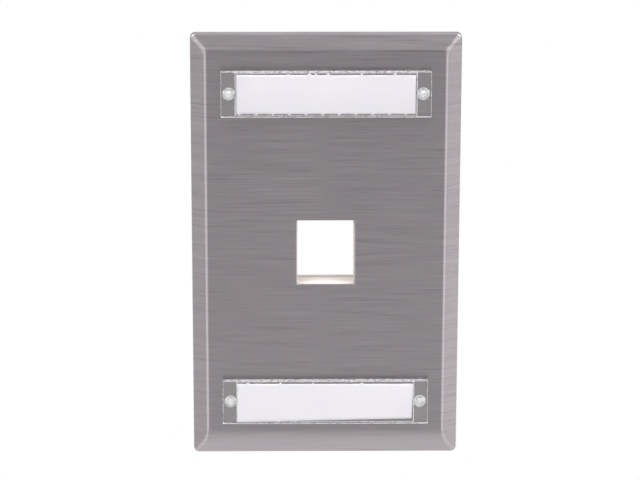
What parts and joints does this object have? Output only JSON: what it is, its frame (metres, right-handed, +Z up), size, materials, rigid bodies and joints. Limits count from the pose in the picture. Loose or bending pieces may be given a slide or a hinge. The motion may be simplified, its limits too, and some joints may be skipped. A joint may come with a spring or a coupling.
{
  "type": "keystone wall plate",
  "caption": "Single gang brushed stainless wall plate with a moulded keystone port and clear label windows that hide its mounting screws.",
  "frame": {"origin": "centre of the plate on the wall plane, midway between the two mounting screws", "axes": "+Z up along the plate's length, +Y into the wall along the mounting screws, the front looks along -Y"},
  "size_m": [0.0698, 0.0279, 0.1142],
  "materials": {
    "brushed_stainless": "horizontal brushed stainless steel",
    "ivory_plastic": "satin moulded ivory plastic",
    "plated_steel": "copper flashed weld stud",
    "spring_steel": "zinc plated spring steel",
    "clear_plastic": "clear moulded polycarbonate",
    "white_card": "blank white card",
    "screw_steel": "plated slotted screw"
  },
  "bodies": {
    "plate": {"face_plate": "brushed_stainless", "port_frame": "ivory_plastic", "weld_stud_upper_left": "plated_steel", "weld_stud_upper_right": "plated_steel", "weld_stud_lower_left": "plated_steel", "weld_stud_lower_right": "plated_steel", "push_nut_upper_left": "spring_steel", "push_nut_upper_right": "spring_steel", "push_nut_lower_left": "spring_steel", "push_nut_lower_right": "spring_steel"},
    "cover_top": {"label_cover_top": "clear_plastic"},
    "card_top": {"label_card_top": "white_card"},
    "screw_top": {"mounting_screw_top": "screw_steel"},
    "cover_bottom": {"label_cover_bottom": "clear_plastic"},
    "card_bottom": {"label_card_bottom": "white_card"},
    "screw_bottom": {"mounting_screw_bottom": "screw_steel"}
  },
  "joints": [
    {"name": "cover_top_pull", "type": "slide", "parent": "plate", "child": "cover_top", "axis": [0, -1, 0], "range_m": [0, 0.03]},
    {"name": "card_top_release", "type": "slide", "parent": "plate", "child": "card_top", "axis": [0, -1, 0], "range_m": [0, 0.015]},
    {"name": "screw_top_turn", "type": "hinge", "parent": "plate", "child": "screw_top", "pos_m": [0, 0, 0.04167], "axis": [0, 1, 0], "continuous": true},
    {"name": "cover_bottom_pull", "type": "slide", "parent": "plate", "child": "cover_bottom", "axis": [0, -1, 0], "range_m": [0, 0.03]},
    {"name": "card_bottom_release", "type": "slide", "parent": "plate", "child": "card_bottom", "axis": [0, -1, 0], "range_m": [0, 0.015]},
    {"name": "screw_bottom_turn", "type": "hinge", "parent": "plate", "child": "screw_bottom", "pos_m": [0, 0, -0.04167], "axis": [0, 1, 0], "continuous": true}
  ],
  "couplings": [
    {"joint": "card_top_release", "follows": "cover_top_pull", "ratio": 0.5},
    {"joint": "card_bottom_release", "follows": "cover_bottom_pull", "ratio": 0.5}
  ]
}
